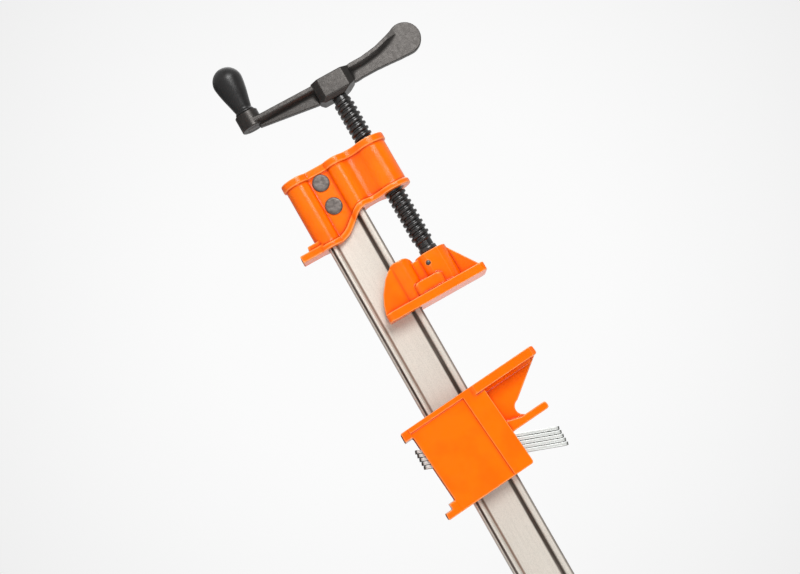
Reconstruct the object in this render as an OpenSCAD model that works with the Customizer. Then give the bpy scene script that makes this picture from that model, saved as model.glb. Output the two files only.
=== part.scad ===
// I-bar clamp: a steel I-bar with a riveted screw head at one end and a clutch jaw that slides along it.
// Millimetres. X runs along the bar from the crank end to the tail, Z is up, the feet stand on z = 0.
// The origin lies under the middle of the head's foot.

/* [Bar] */
// Length of the bar
bar_len = 836; // [760:1:1100]
// Height of the bar section
bar_h = 46.7; // [45:0.1:49]
// Width across a flange
bar_w = 16; // [14.5:0.1:17]
// Thickness of the web
bar_web = 5; // [4:0.1:6]
// Thickness of a flange at its edge
bar_flange = 6.8; // [6.2:0.1:7.4]
// Fillet between web and flange
bar_fillet = 3; // [2.2:0.1:3.4]
// Rounding of the flange edges
bar_edge = 2; // [1.2:0.1:2.4]
// Height of the underside of the bar over the bench
bar_rise = 26.5; // [25:0.1:29]
// Distance from the tail end of the bar to the stop pin
stop_inset = 13; // [10:0.5:25]
// Diameter of the stop pin
stop_d = 6; // [4.5:0.1:7]
// How far the stop pin stands out past each flange edge
stop_reach = 3; // [2:0.1:4]

/* [Head] */
// Distance from the middle of the foot back to the crank end of the head
head_back = 69.5; // [66:0.1:73]
// Distance from the middle of the foot back to the front of the screw boss
boss_back = 15.8; // [13.5:0.1:17.5]
// Height of the screw axis over the bar
screw_rise = 32.2; // [31:0.1:34]
// Radius of the screw boss
boss_r = 15.4; // [14.5:0.1:17]
// Wall of the casting round the bar
head_wall = 5.4; // [4.6:0.1:6]
// Radius of the rounded lobe over the top flange
lobe_r = 10; // [9.5:0.1:11]
// Depth of the lobe's middle under the top of the bar
lobe_drop = 3.2; // [2.6:0.1:4]
// Radius of the rounded lobe under the bottom flange
keel_r = 12; // [11:0.1:13]
// Height of the keel's middle over the underside of the bar
keel_lift = 3.5; // [2.5:0.1:4.5]
// Hollow curve between the boss and the top lobe
neck_r = 14; // [12:0.5:17]
// Height that the rims stand proud
rim_h = 1.8; // [1:0.1:2.4]
// Width of the rim at the crank end
rim_back_w = 7; // [5:0.1:8.5]
// Width of the rim along the front edge
rim_front_w = 5; // [3.5:0.1:6]
// Height of the knee of the sloping front edge over the underside of the bar
knee_rise = 20.5; // [18:0.1:24]
// Depth of the shoulder of the sloping front edge under the top of the bar
shoulder_drop = 3; // [1:0.1:5]
// Length over which the knee is rounded, to each side
knee_ease = 10; // [6:0.1:13]
// Length over which the shoulder is rounded, to each side
shoulder_ease = 8; // [5:0.1:11]
// Thickness of the foot along the bar
foot_t = 7; // [6:0.1:8]
// Width of the foot
foot_w = 24; // [20:0.5:27]
// How far the gusset stands in from the sides of the foot
rib_inset = 1.5; // [0.5:0.1:3]
// Length of the gusset behind the foot
foot_rib = 4.6; // [3:0.1:6]
// Height of the gusset's end over the bench
foot_rib_rise = 10; // [8:0.1:12]
// Diameter of a rivet head
rivet_head_d = 16.2; // [14:0.1:17.5]
// Height of a rivet head
rivet_head_h = 1.9; // [1.4:0.1:2.4]
// Diameter of a rivet shank
rivet_d = 8; // [6.5:0.1:9.5]
// Distance of the rear rivet from the crank end of the head
rivet_inset = 15.5; // [14.5:0.1:16.5]
// Distance between the rivets
rivet_pitch = 24.3; // [22:0.1:26]

/* [Screw] */
// Outer diameter of the thread
screw_d = 18.7; // [18:0.1:19.2]
// Pitch of the thread
screw_pitch = 5.3; // [5:0.01:5.6]
// Depth of the thread
thread_depth = 1.9; // [1.5:0.05:2.1]
// Room between thread crest and the head's bore
thread_gap = 0.3; // [0.2:0.05:0.5]
// Distance from the middle of the foot back to the crank hub
hub_back = 117.5; // [117:0.1:122]
// Length of the plain collar before the pad
collar_len = 5; // [4:0.1:6]
// Radius of the plain collar
collar_r = 8.6; // [8:0.1:9]
// Radius of the journal that turns in the pad
journal_r = 6.9; // [6.5:0.05:7.2]
// Depth of the journal in the pad
journal_len = 18; // [16.5:0.1:20]
// Side of the square tenon in the crank hub
tenon_w = 9.4; // [8.5:0.1:10]
// Radius of the peened end of the tenon
peen_r = 7.4; // [7:0.1:8.5]
// Height of the peened end
peen_h = 2; // [1.4:0.1:2.6]

/* [Crank] */
// Length of the hub along the screw
hub_len = 22.4; // [21:0.1:24]
// Length of the hub's flat side faces
hub_flat = 18.6; // [17.5:0.1:19.4]
// Height of the hub's flat face
hub_h = 25.4; // [24:0.1:27]
// Depth of the hub
hub_w = 27.4; // [25:0.1:29]
// Depth of the hub at its screw end
hub_tip_w = 19; // [17:0.1:21]
// Height of the hub where it runs into the arms
hub_span = 38; // [36:0.1:42]
// How far the hub's screw end is cut back where it runs into the knob arm
hub_ear = 3; // [2:0.1:4]
// Height of that cut
hub_ear_h = 4; // [3:0.1:5]
// Height over the screw axis where the hub starts to slope towards the paddle's web
hub_flank = 5.2; // [4:0.1:7]
// Distance from the screw axis to the knob axis
crank_throw = 83.6; // [80.5:0.1:85]
// Distance from the screw axis to the middle of the paddle's round end
paddle_reach = 79.5; // [76:0.1:84]
// Radius of the paddle's round end
paddle_r = 15.5; // [14.5:0.1:16.5]
// Thickness of the paddle and the webs
crank_web = 6.4; // [5:0.1:7.5]
// Thickness of the arm ribs along the screw at their outer edges
rib_top = 4.2; // [3.5:0.1:5]
// Thickness of the arm ribs where they run into the webs
rib_foot = 7; // [6:0.1:8]
// Width of the paddle's rib at the hub
ridge_w = 17; // [15:0.1:18.5]
// Width of the paddle's rib along its middle
ridge_mid_w = 13; // [11:0.1:14.5]
// Width of the knob arm's rib at the hub
arm_w0 = 15; // [13:0.1:17]
// Width of the knob arm's rib at its end
arm_w1 = 22; // [20:0.1:22]
// How far the knob arm lies before the crank's back face
arm_dip = 1.5; // [0.8:0.1:2]
// Radius of the knob boss
knob_boss_r = 11.2; // [10.5:0.1:12]
// How far the knob boss stands out behind the crank's back face
knob_boss_out = 7; // [6:0.1:8]
// How far the knob boss stands out before the crank's back face
knob_boss_in = 8.6; // [8.2:0.1:9.4]
// How far the knob arm's web reaches before the crank's back face at the knob
web_end = 10.2; // [9.6:0.1:11]
// How far the paddle's web reaches before the crank's back face
web_reach = 16.4; // [15.5:0.1:18]
// How far the paddle bends back behind the crank's back face
paddle_bend = 11.9; // [10:0.1:12]
// How far the middle of the paddle lies before the crank's back face
paddle_off = 3.1; // [2.5:0.1:4]
// Depth of the spot face round the spindle's riveted end
spot_drop = 0.3; // [0.2:0.1:0.6]
// Room round the spindle's riveted end
spot_gap = 0.6; // [0.4:0.1:1]

/* [Knob] */
// Length of the knob
knob_len = 48.5; // [46:0.1:52]
// Radius of the knob's bulb
knob_r = 14.3; // [13.2:0.1:15.2]
// Radius of the knob's neck
knob_neck_r = 8.2; // [7.6:0.1:9]
// Radius of the flare at the knob's foot
knob_flare_r = 9.3; // [9:0.1:10.5]
// Length of the flare
knob_flare_len = 3; // [2.5:0.1:4]
// Radius of the spindle
spindle_r = 4; // [3.5:0.05:4.4]
// Radius of the spindle's end collar
spindle_head_r = 5.6; // [5.2:0.05:6]
// Rounding of the flare's end
knob_edge = 0.8; // [0.4:0.1:1.2]
// Length of the spindle's end collar
spindle_head_len = 3; // [2.5:0.1:3.5]
// Depth of the spindle in the knob
spindle_depth = 38; // [35:0.1:39]
// Radius of the riveted end of the spindle
spindle_rivet_r = 6.2; // [5.5:0.1:7]

/* [Pad] */
// Distance from the middle of the foot to the pad's clamping face
pad_face_x = 90.5; // [87:0.1:93]
// Thickness of the pad's plate
pad_t = 8.2; // [7:0.1:9.5]
// Width of the pad's plate
pad_w = 40; // [38:0.5:46]
// Height of the plate's top over the bar
pad_over = 68.3; // [64:0.1:72]
// Depth of the plate's lower end under the top of the bar
pad_under = 31.9; // [28:0.1:33]
// Rounding of the plate's corners
pad_corner = 5; // [3:0.1:7]
// Length of the screw boss behind the plate
pad_boss_len = 32.9; // [31:0.1:35]
// Radius of the screw boss
pad_boss_r = 15.5; // [14.5:0.1:16.5]
// Width across the flats of the screw boss
pad_boss_w = 28; // [26:0.1:30]
// Thickness of the top gusset
pad_gusset_t = 8; // [6:0.1:10]
// Drop of the gusset's top end under the plate's top
pad_gusset_drop = 1; // [0.5:0.1:4]
// How far the saddle runs back from the plate
saddle_len = 38.4; // [36:0.1:40]
// Half the height of the saddle lobe
saddle_r = 12.6; // [12:0.1:13.2]
// Height of the saddle's middle over the top of the bar
saddle_lift = 1.2; // [0.8:0.1:1.8]
// Rounding of the saddle's back end
saddle_round = 8; // [6:0.1:10]
// Wall of the saddle beside the top flange
pad_wall = 5; // [4.4:0.1:5.8]
// Distance of the gusset's low end in front of the boss's back end
gusset_inset = 2.6; // [1.5:0.1:4]
// Distance of the web between boss and saddle in front of the boss's back end
neck_inset = 1.5; // [1:0.1:3]
// Width of the web between boss and saddle
pad_neck_w = 17; // [15:0.1:20]
// Width over the two lower legs
leg_w = 22; // [21:0.1:24]
// Length of the stiffener block behind the plate
block_len = 12; // [10:0.1:14]
// Width of the stiffener block
block_w = 33; // [31:0.1:35]
// Rounding of the stiffener block
block_corner = 4; // [2:0.1:6]
// Length over which the back corners of the stiffener block are rounded
block_ease = 5; // [3:0.1:6]
// Height of the stiffener block's top over the bar
block_top = 31; // [28:0.1:34]
// Height of the stiffener block's lower end over the bar
block_low = 3.6; // [2:0.1:6]
// Diameter of the retaining pin
pin_d = 4; // [3.5:0.1:4.4]
// Distance of the retaining pin in front of the boss's back end
pin_inset = 9.5; // [8:0.1:11]
// Room between the pad and the bar
pad_gap = 0.5; // [0.4:0.05:0.8]

/* [Tail jaw] */
// Distance from the middle of the foot to the jaw's face at the bar
jaw_x = 175.2; // [172:0.1:250]
// Lean of the unloaded jaw on the bar, in degrees
jaw_tilt = 4.5; // [3.5:0.1:5]
// Length of the jaw along the bar
jaw_len = 87.1; // [86:0.1:92]
// Depth of the jaw's body across the bar
jaw_w = 36; // [35.5:0.1:40]
// Height of the jaw's body over the bar
jaw_over = 10.6; // [9.5:0.1:12]
// Depth of the jaw's body under the top of the bar
jaw_under = 66.2; // [65.4:0.1:68]
// Thickness of the face plate
face_t = 8.7; // [7.5:0.1:9.5]
// Width of the face plate
face_w = 40; // [39:0.5:46]
// Height of the face plate over the bar
face_over = 68.3; // [65:0.1:72]
// Chamfer of the face plate's top corners
face_corner = 4; // [2:0.1:6]
// Size of the rounding along the top of the face plate
face_edge = 2.4; // [1.5:0.1:3]
// Height over which the body widens into the face plate
face_flare = 3; // [2:0.1:5]
// Thickness of the end walls
end_wall = 9; // [8:0.1:9.5]
// Drop of the gusset's top end under the face plate's top
gusset_drop = 1.2; // [0.6:0.1:3]
// Thickness of the gusset behind the face plate
gusset_t = 8; // [6:0.1:11]
// Bevel between the gusset and the face plate
gusset_fillet = 3; // [2:0.1:4]
// Radius of the finger notch
notch_r = 7.2; // [6:0.1:8]
// Distance from the middle of the finger notch to the jaw's tail end
notch_back = 46.8; // [46:0.1:47.6]
// Height of the notch's middle over the bar
notch_w = 32; // [30:0.1:34]
// Thickness of the finger tab
tab_t = 7; // [6.5:0.1:8]
// Width of the finger tab
tab_w = 26; // [22:0.5:30]
// Height of the finger tab over the bar
tab_over = 50.4; // [48:0.1:54]
// How far the finger tab spreads at its foot
tab_spread = 4.6; // [3:0.1:6]
// Rounding of the finger tab's top edges
tab_edge = 2.6; // [1.6:0.1:3]
// Chamfer of the body's top edge at the tail
jaw_edge = 1.6; // [0.8:0.1:2.4]
// Depth of the sunk panel on each side
panel_depth = 1.4; // [0.8:0.1:1.8]
// Depth of the panel's top edge under the bar's top
panel_drop = 9.6; // [8:0.1:12]
// Width of the proud strip beside the panel
panel_edge = 4.8; // [3.5:0.1:6]
// Length of the front foot along the bar
jaw_foot = 9; // [8:0.1:9.5]
// Length of the rear foot along the bar
jaw_heel = 6.4; // [5.5:0.1:7]
// Length of the step above the rear foot
jaw_step = 11.9; // [11:0.1:12.5]
// Depth of the step under the body
step_drop = 6.4; // [4:0.1:7]
// How far the feet stand in from the sides of the body
foot_inset = 1; // [0.5:0.1:2]
// Room between the jaw's windows and the bar
window_gap = 0.7; // [0.6:0.05:1]

/* [Clutch] */
// Thickness of a clutch disc
disc_t = 3.4; // [3:0.05:3.5]
// Spacing of the discs along the bar
disc_pitch = 3.94; // [3.94:0.01:4.1]
// Width of a clutch disc
disc_w = 25.8; // [24.5:0.1:26.2]
// Lean of the discs at rest, in degrees
disc_lean = 20; // [18.5:0.1:21]
// Height of the discs' tops over the bar
disc_over = 53.2; // [50:0.1:56]
// Height of the discs' lower ends over the bench
disc_ground = 3.1; // [2.8:0.1:6]
// Rounding of the discs' corners
disc_corner = 3.5; // [2:0.1:5]
// Height of the discs' fulcrum over the bar
fulcrum_rise = 12.8; // [11.5:0.1:14]
// Gap between the finger tab and the first disc at the fulcrum
disc_gap = 0.7; // [0.7:0.1:2]
// Room between the discs' slots and the bar
slot_gap = 0.35; // [0.35:0.05:0.5]
// Room beside the discs in the body
room_gap = 0.6; // [0.4:0.05:0.8]
// Distance of the spring under the bar
spring_drop = 2.6; // [2.2:0.1:3]
// Outer radius of the spring
spring_r = 5; // [4.4:0.1:5.2]
// Radius of the spring wire
wire_r = 0.75; // [0.6:0.05:0.8]
// Number of turns of the spring
spring_turns = 7; // [6:1:8]

/* [Hidden] */
// Smoothness of round faces
$fn = 64;
// Clearance between pieces that are fixed to each other
fit = 0.1;
// Radial clearance of turning pieces
run = 0.1;
// End clearance of turning and sliding pieces
play = 0.35;
// Overlap of joined or cut forms
lap = 0.5;
// Overlap of round forms that run into each other
sink = 0.05;
// Length that cuts past every form
far = 300;

bar_x0 = -head_back + lap;
bar_x1 = bar_x0 + bar_len;
bar_top = bar_rise + bar_h;
bar_mid = bar_rise + bar_h / 2;
screw_z = bar_top + screw_rise;
stop_x = bar_x1 - stop_inset;

// Half the width of the head over the flanges, and over the web
head_half = bar_w / 2 + head_wall;
web_half = bar_web / 2 + head_wall;
lobe_z = bar_top - lobe_drop;
keel_z = bar_rise + keel_lift;
rivet_x = [-head_back + rivet_inset, -head_back + rivet_inset + rivet_pitch];

root_r = screw_d / 2 - thread_depth;
bore_r = screw_d / 2 + thread_gap;
pad_back = pad_face_x - pad_t - pad_boss_len;
pin_x = pad_back + pin_inset;
collar_x1 = pad_back - play;
thread_x0 = -hub_back + fit;
thread_x1 = collar_x1 - collar_len;
journal_x1 = pad_back + journal_len;
groove_r = journal_r - pin_d / 2;
pin_drop = groove_r + run + pin_d / 2;

hub_x0 = -hub_back - hub_len;
knob_z = screw_z - crank_throw;
knob_boss_x0 = hub_x0 - knob_boss_out;
knob_boss_x1 = hub_x0 + knob_boss_in;
spindle_x1 = knob_boss_x1 - spot_drop;
knob_x1 = knob_boss_x0 - play;
knob_x0 = knob_x1 - knob_len;
bulb_x = knob_x0 + knob_r;

jaw_half = jaw_w / 2;
notch_u = jaw_len - notch_back;
// Height of the jaw's own frame over the bar
jaw_rest = 0.2;
room_half = disc_w / 2 + room_gap;
tab_u1 = notch_u + notch_r + tab_t;
fulcrum_z = bar_top + fulcrum_rise;
// Where the tab's outer side meets the fulcrum height, from the jaw's own frame
edge_x = jaw_x + tab_u1 * cos(jaw_tilt) - jaw_over * sin(jaw_tilt);
fulcrum_x = edge_x + disc_gap + disc_t / 2 / cos(disc_lean);
disc_low = (disc_ground - fulcrum_z + disc_t / 2 * sin(disc_lean)) / cos(disc_lean);
disc_high = (disc_over - fulcrum_rise) / cos(disc_lean);
slot_low = (bar_rise - slot_gap - fulcrum_z - disc_t / 2 * sin(disc_lean)) / cos(disc_lean);
slot_high = (bar_top + 3 * slot_gap - fulcrum_z + disc_t / 2 * sin(disc_lean)) / cos(disc_lean);

// The spring bears on the last disc and on the rear wall of the jaw
spring_z = bar_rise - spring_drop - spring_r;
spring_x0 = fulcrum_x + 4 * disc_pitch + disc_t / 2 / cos(disc_lean)
    - (fulcrum_z - spring_z - spring_r) * tan(disc_lean) + play;
spring_u = jaw_len - jaw_step;
spring_w = (bar_top + jaw_rest + spring_u * sin(jaw_tilt) - spring_z - spring_r) / cos(jaw_tilt);
spring_x1 = jaw_x + spring_u * cos(jaw_tilt) + spring_w * sin(jaw_tilt) - play;

paint = [1, 0.47, 0.05];
plated = [0.84, 0.82, 0.79];
zinc = [0.86, 0.87, 0.86];
black = [0.16, 0.15, 0.15];
oxide = [0.24, 0.23, 0.23];
raw = [0.5, 0.48, 0.46];

// Stretches a section drawn in Y and Z along X
module along_x(x0, x1) {
    translate([x0, 0, 0])
        rotate([90, 0, 90])
            linear_extrude(x1 - x0)
                children();
}

// Stretches an outline drawn in X and Z across Y, half to each side
module across_y(w) {
    rotate([90, 0, 0])
        linear_extrude(w, center = true)
            children();
}

// A rod along X
module rod_x(x0, x1, r, z) {
    translate([x0, 0, z])
        rotate([0, 90, 0])
            cylinder(r = r, h = x1 - x0);
}

// A rod along Y, half to each side
module rod_y(x, z, r, w) {
    translate([x, 0, z])
        rotate([90, 0, 0])
            cylinder(r = r, h = w, center = true);
}

module round_rect(w, h, r) {
    square([w, h - 2 * r], center = true);
    square([w - 2 * r, h], center = true);
    for (i = [-1, 1])
        for (j = [-1, 1])
            translate([i * (w / 2 - r), j * (h / 2 - r)])
                circle(r);
}

// Points of a smooth bend at p between a and b, which starts at the distance d from it on each side
function bend(a, p, b, d) =
    let (q = p + d * (a - p) / norm(a - p), r = p + d * (b - p) / norm(b - p))
        [for (i = [0 : 8]) let (t = i / 8) (1 - t) * (1 - t) * q + 2 * t * (1 - t) * p + t * t * r];

// Section of the bar, grown by a clearance
module bar_section(grow) {
    reach = bar_fillet + grow + lap;
    translate([0, bar_mid]) {
        square([bar_web + 2 * grow, bar_h - bar_flange], center = true);
        for (j = [-1, 1])
            translate([0, j * (bar_h - bar_flange) / 2])
                round_rect(bar_w + 2 * grow, bar_flange + 2 * grow, bar_edge);
        for (i = [0, 1])
            for (j = [0, 1])
                mirror([i, 0])
                    mirror([0, j])
                        translate([bar_web / 2 + grow, bar_h / 2 - bar_flange - grow])
                            difference() {
                                translate([-lap, -bar_fillet])
                                    square([bar_fillet + lap, bar_fillet + lap]);
                                translate([bar_fillet, -bar_fillet])
                                    circle(bar_fillet);
                            }
    }
}

module i_bar() {
    color(plated)
        difference() {
            along_x(bar_x0, bar_x1)
                bar_section(0);
            for (x = rivet_x)
                rod_y(x, bar_mid, rivet_d / 2 + fit, bar_w);
            rod_y(stop_x, bar_mid, stop_d / 2 + fit, bar_w);
        }
}

// Middle of a hollow arc that touches two round forms from outside
function hollow(a, ra, b, rb, rc) =
    let (d = norm(b - a), p = ra + rc, q = rb + rc, u = (b - a) / d, t = (p * p - q * q + d * d) / (2 * d))
        a + t * u + sqrt(p * p - t * t) * [-u[1], u[0]];

// A bar-shaped round form, flat over its middle
module lobe(z, half, r) {
    translate([0, z]) {
        square([2 * (half - r), 2 * r], center = true);
        for (i = [-1, 1])
            translate([i * (half - r), 0])
                circle(r);
    }
}

// Section of the head casting, grown for the rims
module head_section(grow) {
    a = [0, screw_z];
    b = [head_half - lobe_r, lobe_z];
    c = hollow(a, boss_r - sink, b, lobe_r - sink, neck_r);
    translate(a)
        circle(boss_r + grow);
    lobe(lobe_z, head_half + grow, lobe_r + grow);
    lobe(keel_z, head_half + grow, keel_r + grow);
    translate([0, bar_mid])
        square([2 * (web_half + grow), bar_h / 2], center = true);
    for (i = [0, 1])
        mirror([i, 0])
            difference() {
                polygon([a, c, b, [-lap, lobe_z], [-lap, screw_z]]);
                translate(c)
                    circle(neck_r - grow);
            }
}

// Front edge of the head from the keel up, set back by a width
function front_edge(w) =
    let (x = foot_t / 2 - w, xb = -boss_back - w, low = [x, 0], high = [xb, far],
        knee = [x, bar_rise + knee_rise - w / 2], shoulder = [xb, bar_top - shoulder_drop - w / 2])
        concat([low], bend(low, knee, shoulder, knee_ease), bend(knee, shoulder, high, shoulder_ease),
            [high]);

module head_casting() {
    x0 = -head_back;
    x1 = foot_t / 2;
    xb = -boss_back;
    w = rim_front_w;
    rim_edge = front_edge(w);
    color(paint)
        difference() {
            union() {
                intersection() {
                    along_x(x0, x1 + 1)
                        head_section(0);
                    across_y(far)
                        polygon(concat(front_edge(0), [[x0 - 1, far], [x0 - 1, 0]]));
                }
                intersection() {
                    along_x(x0, x1 + 1)
                        head_section(rim_h);
                    across_y(far)
                        polygon(concat(front_edge(0), [for (i = [len(rim_edge) - 1 : -1 : 0]) rim_edge[i]]));
                }
                along_x(x0, x0 + rim_back_w)
                    head_section(rim_h);
                translate([-foot_t / 2, -foot_w / 2, 0])
                    cube([foot_t, foot_w, keel_z]);
                translate([-foot_t / 2 - foot_rib, -foot_w / 2 + rib_inset, foot_rib_rise])
                    cube([foot_rib + lap, foot_w - 2 * rib_inset, keel_z - foot_rib_rise]);
            }
            along_x(x0 - 1, x1 + 1)
                bar_section(fit);
            rod_x(x0 - 1, xb + 1, bore_r, screw_z);
            for (x = rivet_x)
                rod_y(x, bar_mid, rivet_d / 2 + fit, 2 * head_half + 2 * rim_h + 2);
        }
}

module rivet(x) {
    seat = web_half + fit / 2;
    edge = rivet_head_h / 3;
    color(raw) {
        rod_y(x, bar_mid, rivet_d / 2, 2 * seat + 2 * lap);
        for (i = [0, 1])
            mirror([0, i, 0])
                translate([x, seat, bar_mid])
                    rotate([-90, 0, 0]) {
                        cylinder(d = rivet_head_d, h = rivet_head_h - edge);
                        translate([0, 0, rivet_head_h - edge])
                            cylinder(d1 = rivet_head_d, d2 = rivet_head_d - 4 * edge, h = edge);
                    }
    }
}

module head_rivet_rear() {
    rivet(rivet_x[0]);
}

module head_rivet_front() {
    rivet(rivet_x[1]);
}

module bar_stop_pin() {
    color(raw)
        rod_y(stop_x, bar_mid, stop_d / 2, bar_w + 2 * stop_reach);
}

// Steps per turn of the thread, and rows across one pitch
steps = 16;
turns = floor((thread_x1 - thread_x0) / screw_pitch) - 1;
total = turns * steps;
thread_start = (thread_x1 + thread_x0 - (turns + 1) * screw_pitch) / 2;
// Crest and root of the thread across one pitch: share of the pitch, share of the depth
thread_row = [[0, 0], [0.2, 1], [0.58, 1], [0.78, 0]];

function ramp(i) = min(1, 2 * i / steps, 2 * (total - i) / steps);
function thread_at(i, k) =
    let (a = 360 * i / steps, r = root_r + thread_depth * thread_row[k][1] * ramp(i))
        [thread_start + screw_pitch * (i / steps + thread_row[k][0]), r * cos(a), r * sin(a)];
function ring_at(x) =
    [for (i = [0 : steps - 1]) [x, root_r * cos(360 * i / steps), root_r * sin(360 * i / steps)]];

// One unbroken screw thread with plain ends
module thread() {
    grid = [for (i = [0 : total]) for (k = [0 : 3]) thread_at(i, k)];
    base = len(grid);
    points = concat(grid, ring_at(thread_x0), ring_at(thread_x1));
    last = total - steps;
    flanks = [for (i = [0 : total - 1]) for (k = [0 : 2]) for (t = [0, 1])
        t == 0 ? [4 * i + k, 4 * i + k + 1, 4 * i + k + 5] : [4 * i + k, 4 * i + k + 5, 4 * i + k + 4]];
    roots = [for (i = [0 : last - 1]) for (t = [0, 1])
        t == 0 ? [4 * i + 3, 4 * (i + steps), 4 * (i + steps) + 4]
            : [4 * i + 3, 4 * (i + steps) + 4, 4 * i + 7]];
    front = [for (i = [0 : steps - 2]) for (t = [0, 1])
        t == 0 ? [base + i, 4 * i, 4 * i + 4] : [base + i, 4 * i + 4, base + i + 1]];
    p = 4 * (steps - 1);
    seam0 = [[p, 4 * steps, 3], [p, 3, 2], [p, 2, 1], [p, 1, 0], [p, 0, base], [p, base, base + steps - 1]];
    back = [for (i = [1 : steps - 1]) for (t = [0, 1])
        t == 0 ? [4 * (last + i) + 3, base + steps + i, base + steps + (i + 1) % steps]
            : [4 * (last + i) + 3, base + steps + (i + 1) % steps, 4 * (last + i) + 7]];
    q = 4 * last + 7;
    e = 4 * total;
    seam1 = [[q, 4 * last + 3, e], [q, e, e + 1], [q, e + 1, e + 2], [q, e + 2, e + 3],
        [q, e + 3, base + steps], [q, base + steps, base + steps + 1]];
    ends = [[for (i = [0 : steps - 1]) base + i], [for (i = [0 : steps - 1]) base + 2 * steps - 1 - i]];
    translate([0, 0, screw_z])
        polyhedron(points, concat(flanks, roots, front, seam0, back, seam1, ends));
}

module clamp_screw() {
    color(oxide)
        difference() {
            union() {
                thread();
                rod_x(thread_x1 - lap, collar_x1, collar_r, screw_z);
                rod_x(collar_x1 - lap, journal_x1, journal_r, screw_z);
                translate([hub_x0 - fit - lap, -tenon_w / 2, screw_z - tenon_w / 2])
                    cube([hub_len + 2 * fit + 2 * lap, tenon_w, tenon_w]);
                translate([hub_x0 - fit, 0, screw_z])
                    rotate([0, -90, 0])
                        cylinder(r1 = peen_r, r2 = peen_r - peen_h, h = peen_h);
            }
            difference() {
                rod_x(pin_x - pin_d / 2 - play, pin_x + pin_d / 2 + play, journal_r + lap, screw_z);
                rod_x(pin_x - pin_d, pin_x + pin_d, groove_r, screw_z);
            }
        }
}

// Back edge of the paddle's rib: share of the paddle's bend, share of its reach, half width
ridge_row = [[0.04, 0.27, ridge_w / 2 - 2 * lap], [0.06, 0.44, ridge_mid_w / 2 + lap],
    [0.25, 0.64, ridge_mid_w / 2], [0.6, 0.81, ridge_mid_w / 2 - 2 * lap],
    [0.97, 0.95, crank_web / 2 - lap / 2]];
// Front edge of the paddle's web: distance past the web's reach, share of the paddle's reach
front_row = [[0, 0.36], [0.1, 0.55], [0.9, 0.72], [1.8, 0.85]];

function ridge_at(i) =
    [-paddle_bend * ridge_row[i][0], paddle_reach * ridge_row[i][1], ridge_row[i][2]];

// A rib along the crank's back through stations of place, height and half width, with a sloping inner side
module rib(row) {
    n = len(row);
    root = crank_web / 2 - lap / 2;
    points = [for (t = row) for (c = [[0, -t[2]], [rib_top, -t[2]], [rib_foot, -root], [rib_foot, root],
        [rib_top, t[2]], [0, t[2]]]) [hub_x0 + t[0] + c[0], c[1], screw_z + t[1]]];
    skin = [for (i = [0 : n - 2]) for (k = [0 : 5]) for (t = [0, 1])
        let (a = 6 * i + k, b = 6 * i + (k + 1) % 6)
            t == 0 ? [a, a + 6, b + 6] : [a, b + 6, b]];
    ends = [[for (k = [0 : 5]) k], [for (k = [0 : 5]) 6 * n - 1 - k]];
    polyhedron(points, concat(skin, ends));
}

module crank_handle() {
    x0 = hub_x0;
    x1 = -hub_back;
    rivet_sink = spindle_rivet_r - spindle_r;
    h = hub_h / 2;
    s = hub_span / 2;
    // Slope of the hub's side faces towards the screw
    g = (hub_w - hub_tip_w) / 2 / (hub_len - hub_flat);
    wide = hub_w / 2 + g;
    slim = hub_tip_w / 2 - g;
    last = len(ridge_row) - 1;
    // Slopes of the hub's screw end towards the knob arm and towards the paddle
    e = hub_ear / hub_ear_h;
    f = (hub_len - web_reach) / (s - hub_flank);
    color(black)
        difference() {
            union() {
                intersection() {
                    along_x(x0, x1)
                        translate([0, screw_z])
                            polygon([[hub_w / 2, h], [ridge_w / 2, s], [-ridge_w / 2, s], [-hub_w / 2, h],
                                [-hub_w / 2, -h], [-arm_w0 / 2, -s], [arm_w0 / 2, -s], [hub_w / 2, -h]]);
                    translate([x0, 0, screw_z])
                        linear_extrude(2 * hub_span, center = true)
                            polygon([[-1, -wide], [hub_flat - 1, -wide], [hub_len + 1, -slim],
                                [hub_len + 1, slim], [hub_flat - 1, wide], [-1, wide]]);
                    across_y(far)
                        translate([x0, screw_z])
                            polygon([[-1, -s - 1], [hub_len - hub_ear - e, -s - 1],
                                [hub_len + e, hub_ear_h + 1 - s], [hub_len + f, hub_flank - 1],
                                [web_reach - f, s + 1], [-1, s + 1]]);
                }
                rib([[arm_dip, -crank_throw, arm_w1 / 2], [arm_dip, 0, arm_w0 / 2]]);
                rib(concat([[lap, 0, ridge_w / 2 - lap], [lap, s - 2 * lap, ridge_w / 2 - lap]],
                    [for (i = [0 : last]) ridge_at(i)]));
                across_y(crank_web)
                    translate([x0, screw_z]) {
                        polygon([[arm_dip + lap, 0], [web_reach, 0], [hub_len - hub_ear + lap, 2 * lap - s],
                            [web_end, -crank_throw], [arm_dip + lap, -crank_throw]]);
                        polygon(concat([[2 * lap, 0], [web_reach - 2 * lap, 0], [web_reach - lap, h],
                            [web_reach + lap, s + 6 * lap]],
                            [for (t = front_row) [web_reach + t[0], paddle_reach * t[1]]],
                            [[paddle_off + paddle_r - sink, paddle_reach]],
                            [for (i = [last : -1 : 0]) [ridge_at(i)[0] + lap, ridge_at(i)[1]]]));
                        translate([paddle_off, paddle_reach])
                            circle(paddle_r);
                    }
                rod_x(knob_boss_x0, knob_boss_x1, knob_boss_r, knob_z);
            }
            translate([x0 - 1, -tenon_w / 2 - fit, screw_z - tenon_w / 2 - fit])
                cube([hub_len + 2, tenon_w + 2 * fit, tenon_w + 2 * fit]);
            rod_x(knob_boss_x0 - 1, knob_boss_x1 + 1, spindle_r + fit, knob_z);
            rod_x(spindle_x1, knob_boss_x1 + far / 10, spindle_rivet_r + spot_gap, knob_z);
            translate([spindle_x1 + fit, 0, knob_z])
                rotate([0, -90, 0])
                    cylinder(r1 = spindle_rivet_r + fit, r2 = spindle_r, h = rivet_sink + fit);
        }
}

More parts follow.
